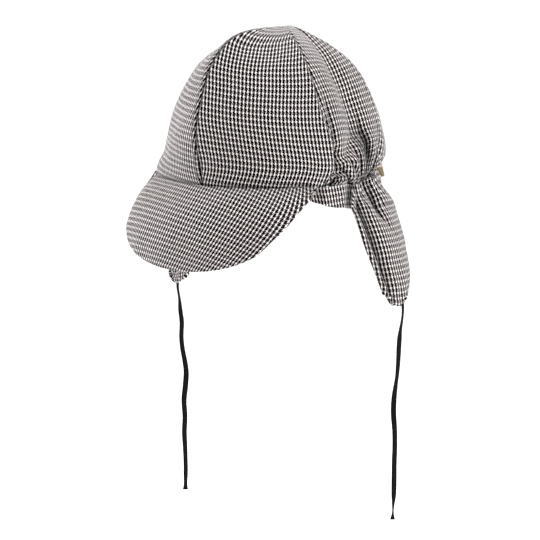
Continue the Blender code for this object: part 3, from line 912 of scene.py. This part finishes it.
def gore(name, index, rows, columns):
    """One gore, its edges rolled into the seams and its lower edge into the rim seam."""
    level = np.repeat(TOP_LEVEL * (np.linspace(0, 1, rows + 1) ** LOW_ROWS)[:, None], columns + 1, axis=1)
    front_seam, back_seam = table(SEAMS, level[:, 0])
    full = np.full_like(front_seam, 180.0)
    bounds = [-full, -back_seam, -front_seam, full * 0, front_seam, back_seam, full]
    share = spread(columns, 0.55)[None, :]
    start, end = bounds[index][:, None], bounds[index + 1][:, None]
    degrees = start + (end - start) * share
    plain = crown_outer(degrees, level)
    across = arc(plain, 1)
    from_start, from_end = across / 1000, (across[:, -1:] - across) / 1000
    near = np.minimum(from_start, from_end)
    above = arc(plain, 0) / 1000
    angle = np.abs(degrees)
    sink = np.zeros_like(level)
    for low_angle, high_angle, reach, depth, half_width in FINE_PLEATS:
        middle = low_angle + (high_angle - low_angle) * np.minimum(level / reach, 1.0)
        sink = sink + depth / 1000 * bump(angle - middle, half_width) * fade(level, reach * 0.15, reach)
    pressed_depth, pressed_shade = pressed(angle, level)
    sink = sink + pressed_depth - puff(angle, level) - flare(degrees, level) + rim_tuck(angle, level)
    wave = ripple(across / 46, above * 1000 / 55, 40 + index) * RIPPLE
    sink = sink - wave * fade(-near, -RIPPLE_EDGE, 0.0) * fade(-above, -RIPPLE_EDGE, 0.0)
    sink = sink + SEAM_ROLL * bump(near, SEAM_ROLL_WIDTH)
    ridge_side = from_start if index == 1 else from_end
    sink = sink - SEAM_RIDGE * fade(ridge_side, *SEAM_RIDGE_ENDS) * (1 - bump(ridge_side, SEAM_RIDGE_DIP))
    turns = above * 1000 * 2 * math.pi / PUCKER_PITCH + 2 * np.sin(above * 90)
    pucker = np.sin(turns) * bump(near, PUCKER_WIDTH)
    sink = sink + PUCKER * pucker * fade(-above, -0.02, -0.004)
    sink = (sink + RIM_ROLL * bump(above, RIM_ROLL_WIDTH)) * fade(level, 0.82, 0.95)
    normal = grid_normals(plain, plain - np.array([0.0, 0.0, -0.02]))
    face = plain - normal * sink[..., None]
    face[..., 2] -= RIM_OVERLAP * bump(above, RIM_OVERLAP_WIDTH)
    normal = grid_normals(face, face - np.array([0.0, 0.0, -0.02]))
    centre = columns // 2
    width = arc(face, 1)
    height = np.repeat(arc(face, 0)[:, centre : centre + 1], columns + 1, axis=1)
    grain = np.stack([width - width[:, centre : centre + 1], height], axis=-1)
    if "side" in name:
        grain[..., 0] -= np.sign(degrees) * grain_pull(angle, level)
        from_front = (from_start if "left" in name else from_end) * 1000
        lean = GRAIN_LEAN_REACH * np.tanh(from_front / GRAIN_LEAN_REACH)
        grain[..., 1] += GRAIN_LEAN * lean * fade(level, 0.45, 0.75)
    if "front" in name:
        past = np.maximum(grain[..., 1] - TOP_GRAIN_START, 0.0)
        grain[..., 1] -= TOP_GRAIN_EASE * past**2 / (past + TOP_GRAIN_BLEND)
    grain = turned(grain, GORE_TURNS[index])
    # Painted shade: darker along the seams, along the rim seam and in the pressed creases.
    seams = seam_shade(name, from_start, from_end) * fade(level, 0.84, 0.95)
    painted_shade = seams + RIM_SHADE * bump(above, RIM_SHADE_WIDTH) + pressed_shade
    cloth(name + "_cloth", face, normal, CLOTH, grain, CLOTH_LOOK, [name], 1.0, painted_shade)


GORES = [
    # name, rows, columns
    ("crown_back_right", 110, 96),
    ("crown_side_right", 120, 130),
    ("crown_front_right", 110, 110),
    ("crown_front_left", 110, 110),
    ("crown_side_left", 130, 150),
    ("crown_back_left", 110, 96),
]
for index, (name, rows, columns) in enumerate(GORES):
    gore(name, index, rows, columns)


# ---- Peak, band, flaps and tab


PEAK_END_TUCK = 0.0022
PEAK_FLARE = 0.72
PEAK_RIPPLE = 0.0005
PEAK_SEAM_DIP = 0.0010
PEAK_SEAM_LIFT = 0.0012
PEAK_LEAN = 0.28
PEAK_ROW_LEAN = 0.18
PEAK_LEAN_SPREAD = 0.0016
PEAK_LEAN_CHANGE = 0.0073
PEAK_GRAIN_START = 1.4
PEAK_SHADE = 0.8
PEAK_SHADE_WIDTH = 0.9


def peak(rows=56, columns=230):
    """The stiff peak, from the rim's front to its free edge, its two ends tucked under the rim."""
    share = np.repeat((spread(columns, 0.3) * 2 - 1)[None, :], rows + 1, axis=0)
    way = np.repeat(spread(rows, 0.45)[:, None], columns + 1, axis=1)
    out, forward, down = table(PEAK_EDGE, np.abs(share))
    angle = np.degrees(share * PEAK_HALF_ANGLE)
    front = crown_outer(np.zeros(1), np.zeros(1))[0, 1]
    root = rim_point(angle, CLOTH / 2, GAP)
    side = np.sign(share)
    tip = np.stack([side * out * PEAK_HALF_WIDTH, front - forward * PEAK_REACH, -down * PEAK_DROP], axis=-1)
    upward = unit(np.stack([0.25 * side * out, -np.ones_like(out), np.full_like(out, 0.6)], axis=-1))
    swell = PEAK_BULGE * 4 * way * (1 - way) * (1 - share**2)
    at_end = PEAK_END_TUCK * fade(1 - np.abs(share), 0.0, 0.16)
    shift = PEAK_FLARE * flare(angle, np.zeros_like(angle)) - at_end
    root = root + unit(root * np.array([1.0, 1.0, 0.0])) * shift[..., None]
    root[..., 2] += 0.6 * at_end
    face = root + (tip - root) * way[..., None] + upward * swell[..., None]
    normal = grid_normals(face, np.array([0.0, -1.0, 0.6]))
    along = arc(face, 0)
    edge = (along[-1:] - along) / 1000
    across = arc(face, 1)
    ends = np.minimum(across, across[:, -1:] - across) / 1000
    wave = ripple(across / 60, along / 50, 71) * PEAK_RIPPLE
    face = face + normal * (wave * fade(-edge, -0.01, 0.0) * fade(-along, -8, 0))[..., None]
    face = face - normal * (PEAK_SEAM_DIP * bump(along, 1.3))[..., None]
    face[..., 2] += PEAK_SEAM_LIFT * bump(along, 1.0) * (1 - bump(angle - FLARE_ANGLE, 22.0))
    normal = grid_normals(face, np.array([0.0, -1.0, 0.6]))
    pinch = rounded(np.minimum(edge, ends), PEAK_WALL)
    across_flat, up_flat = np.moveaxis(laid_flat(face), -1, 0)
    lean = -PEAK_LEAN * up_flat + PEAK_LEAN_CHANGE * up_flat**2
    lean = lean - PEAK_LEAN_SPREAD * np.maximum(across_flat, 0) * up_flat
    grain = np.stack([across_flat + lean + PEAK_GRAIN_START, -up_flat - PEAK_ROW_LEAN * across_flat], axis=-1)
    # Painted shade along the seam where the peak meets the rim, fading out at its end on the wearer's right.
    painted_shade = PEAK_SHADE * bump(along, PEAK_SHADE_WIDTH) * (1 - bump(angle + math.degrees(PEAK_HALF_ANGLE), 5.0))
    cloth("peak_cloth", face, normal, PEAK_WALL, grain, CLOTH_LOOK, ["peak"], pinch, painted_shade)


BAND_LEAN = 0.03
BAND_RIPPLE = 0.0005
BAND_GRAIN_SIZE = 1.12
BAND_GRAIN_LEAN = 0.3


def band(rows=18, columns=420):
    """The band below the rim, from one end of the peak round the back to the other."""
    start = BAND_FRONT_ANGLE
    turn = np.repeat((start + (360 - 2 * start) * np.linspace(0, 1, columns + 1))[None, :], rows + 1, axis=0)
    way = np.repeat(spread(rows, 0.5)[:, None], columns + 1, axis=1)
    angle = np.abs(np.where(turn > 180, turn - 360, turn))
    depth = BAND_DEPTH * table(BAND_DEPTHS, angle)[0]
    behind_flap = (FLAP_FRONT_ANGLE - 6, FLAP_FRONT_ANGLE + 1, FLAP_BACK_ANGLE + 8, FLAP_BACK_ANGLE + 22)
    peak_end = math.degrees(PEAK_HALF_ANGLE)
    tuck = BAND_TUCK * (window(angle, *behind_flap) + fade(angle, peak_end + 0.5, peak_end + 5))
    plain = crown_round(angle, np.zeros_like(angle))
    plain[..., 0] *= np.where(turn > 180, -1, 1)
    plain[..., 2] = RIM_DIP * table(RIM_LIFT, angle)[0]
    inward = -unit(plain[..., :2])
    inside = tuck + rim_tuck(angle, np.zeros_like(angle)) + BAND_LEAN * depth * way + CLOTH / 4
    face = plain.copy()
    face[..., :2] += inward * inside[..., None]
    face[..., 2] -= GAP + depth * way
    outward = np.concatenate([-inward, np.zeros_like(inward[..., :1])], axis=-1)
    length = arc(face, 1)
    low = depth * (1 - way)
    wave = ripple(length / 30, way, 12) * BAND_RIPPLE * np.sin(math.pi * np.clip(way, 0, 1))
    face = face + outward * wave[..., None]
    normal = grid_normals(face, outward)
    pinch = rounded(np.minimum(low, np.minimum(length, length[:, -1:] - length) / 1000), BAND_WALL)
    down = arc(face, 0)
    centre = columns // 2
    round_rim = (length - length[:, centre : centre + 1]) * BAND_GRAIN_SIZE
    grain = np.stack([round_rim - BAND_GRAIN_LEAN * down, -down], axis=-1)
    cloth("rim_band_cloth", face, normal, BAND_WALL, grain, CLOTH_LOOK, ["rim_band"], pinch)


FLAP_CREASES = [
    # across at top, across at foot, starts, ends, depth in millimetres, half width, shade
    (-0.78, -0.54, 0.04, 1.06, 4.0, 0.090, 0.97),
    (-0.33, 0.42, -0.20, 0.46, 2.8, 0.095, 0.80),
    (-0.92, -0.76, -0.20, 0.18, 2.0, 0.060, 0.80),
    (-0.58, -0.42, -0.20, 0.28, 2.2, 0.065, 0.75),
    (-0.14, 0.10, -0.20, 0.34, 2.0, 0.060, 0.65),
    (0.08, 0.34, -0.20, 0.32, 2.2, 0.065, 0.70),
    (0.34, 0.50, -0.20, 0.26, 1.8, 0.060, 0.60),
    (0.68, 0.76, -0.20, 0.22, 1.8, 0.060, 0.60),
]


def folds(rows, across, down, narrowed=1.0):
    """The sum of a table's folds: their depths, or their narrower painted shades."""
    total = 0.0
    for high, low, starts, ends, depth, half_width, *shade in rows:
        begin = max(starts, 0.0)
        share = np.clip((down - begin) / (ends - begin), 0.0, 1.0)
        strength = fade(down, ends - 0.25, ends) * (1 - fade(down, starts, starts + 0.15))
        size = depth if narrowed == 1.0 else shade[0]
        total = total + size * strength * bump(across - high - (low - high) * share, half_width * narrowed)
    return total


FLAP_LEAN = 0.45
FLAP_LEAN_REACH = 38.0
FLAP_RIPPLE = 0.0006
FLAP_SHADE_WIDTH = 0.55
FLAP_RIM_SHADE = 0.3
FOOT_SQUEEZE = 0.6


def ear_flap(side, rows=130, columns=120):
    """One hanging flap; the right one is the left one mirrored, calmer at its foot."""
    mirror = np.array([1.0 if side == "left" else -1.0, 1.0, 1.0])
    across = np.repeat((spread(columns, 0.35) * 2 - 1)[None, :], rows + 1, axis=0)
    down = np.repeat(spread(rows, 0.2)[:, None], columns + 1, axis=1)
    plain = flap_point(across, down)
    half_span = (FLAP_BACK_ANGLE - FLAP_FRONT_ANGLE) / 2
    edge_angle = FLAP_FRONT_ANGLE + (1 + across) * half_span
    inward = -unit(plain * np.array([1.0, 1.0, 0.0]))
    plain = plain + inward * (rim_tuck(edge_angle, np.zeros_like(down)) * fade(down, 0.0, 0.15))[..., None]
    outward = np.array([1.0, -0.2, 0.2])
    normal = grid_normals(plain, outward)
    calm = 1.0 if side == "left" else fade(down, 0.5, 0.8)
    sink = FLAP_FOLD_DEPTH * folds(FLAP_FOLDS, across, down) + folds(FLAP_CREASES, across, down) * calm / 1000
    wave = ripple(across * 0.9, down * 2.2, 5 if side == "left" else 6) * FLAP_RIPPLE
    face = plain - normal * (sink - wave * fade(-down, -0.2, 0.0))[..., None]
    normal = grid_normals(face, outward)
    length = arc(face, 0)
    width = arc(face, 1)
    ends = np.minimum(width, width[:, -1:] - width) / 1000
    edge = np.minimum(ends, (length[-1:] - length) / 1000)
    pinch = rounded(edge, FLAP_WALL)
    # Painted shade along the flap's creases and along its top where it meets the rim.
    painted_shade = folds(FLAP_CREASES, across, down, FLAP_SHADE_WIDTH) * calm
    painted_shade = painted_shade + FLAP_RIM_SHADE * bump(length / 1000, 0.0010)
    centre = columns // 2
    drop = np.repeat(length[:, centre : centre + 1], columns + 1, axis=1)
    lean = FLAP_LEAN * FLAP_LEAN_REACH * np.tanh(drop / FLAP_LEAN_REACH)
    squeeze = 1 + FOOT_SQUEEZE * (1 - calm)
    grain = np.stack([(width - width[:, centre : centre + 1]) * squeeze - lean, -drop * squeeze], axis=-1)
    cloth(
        f"ear_flap_{side}_cloth",
        face * mirror,
        normal * mirror,
        FLAP_WALL,
        grain,
        CLOTH_LOOK,
        [f"ear_flap_{side}"],
        pinch,
        painted_shade,
    )


TAB_TOP_SPAN = 3.2
TAB_TAPER = 1.2
TAB_LIFT = 0.0012
TAB_TUCK = 0.0020


def side_tab(rows=20, columns=24):
    """The tab under the rim, wide at its upper edge and narrow at its foot."""
    half_turn = math.degrees(TAB_WIDTH / 2 / RIM_HALF_LENGTH)
    way = np.repeat(spread(rows, 0.4)[:, None], columns + 1, axis=1)
    place = np.repeat(np.linspace(0, 1, columns + 1)[None, :], rows + 1, axis=0)
    turn = half_turn * (1 - (TAB_TOP_SPAN - TAB_TAPER * way) * (1 - place))
    face = rim_point(TAB_ANGLE + turn, CLOTH - TAB_WALL, 0.0)
    face[..., 2] -= TAB_DROP * way - TAB_LIFT
    outward = face * np.array([1.0, 1.0, 0.0])
    face = face - unit(outward) * (TAB_TUCK * (1 - way))[..., None]
    normal = grid_normals(face, outward)
    width = arc(face, 1)
    height = arc(face, 0)
    edge = np.minimum(np.minimum(width, width[:, -1:] - width), height[-1:] - height) / 1000
    pinch = rounded(edge, TAB_WALL)
    grain = np.stack([width - width[:, -1:] / 2, -height], axis=-1)
    cloth("side_tab_cloth", face, normal, TAB_WALL, grain, TAB_LOOK, ["side_tab"], pinch)


peak()
band()
for side in ("left", "right"):
    ear_flap(side)
side_tab()


# ---- Stage and light


FLOOR_HALF = 12.0
LIGHT_TARGET = Vector((0.0, 0.0, -0.02))
SKY_STRENGTH = 1.04


def stage():
    """A wide pale floor below the ties."""
    mesh = bpy.data.meshes.new("floor")
    half = FLOOR_HALF
    corners = [(-half, -half), (half, -half), (half, half), (-half, half)]
    mesh.from_pydata([(x, y, FLOOR_HEIGHT) for x, y in corners], [], [(0, 1, 2, 3)])
    floor = bpy.data.objects.new("floor", mesh)
    n = Nodes("pale_floor")
    floor.data.materials.append(n.finish(Base_Color=(0.95, 0.95, 0.95, 1), Roughness=1.0, Specular_IOR_Level=0.0))
    bpy.context.scene.collection.objects.link(floor)


LIGHTS = [
    # name, azimuth, elevation, distance, size, power
    ("key", -45, 55, 1.7, 0.8, 21),
    ("side", 118, 14, 1.8, 1.0, 26),
    ("left", -80, 30, 1.8, 1.0, 16),
]


def light():
    """Three soft lamps and a white sky."""
    for name, azimuth, elevation, distance, size, power in LIGHTS:
        away = direction(math.radians(azimuth), math.radians(elevation))
        data = bpy.data.lights.new(name, "AREA")
        data.shape = "DISK"
        data.size = size
        data.energy = power
        lamp = bpy.data.objects.new(name, data)
        lamp.location = LIGHT_TARGET + away * distance
        lamp.rotation_euler = away.to_track_quat("Z", "Y").to_euler()
        bpy.context.scene.collection.objects.link(lamp)
    world = bpy.data.worlds.new("studio")
    world.use_nodes = True
    sky = world.node_tree.nodes["Background"]
    sky.inputs["Color"].default_value = (1.0, 1.0, 1.0, 1.0)
    sky.inputs["Strength"].default_value = SKY_STRENGTH
    bpy.context.scene.world = world
    bpy.context.scene.view_settings.view_transform = "Standard"


stage()
light()
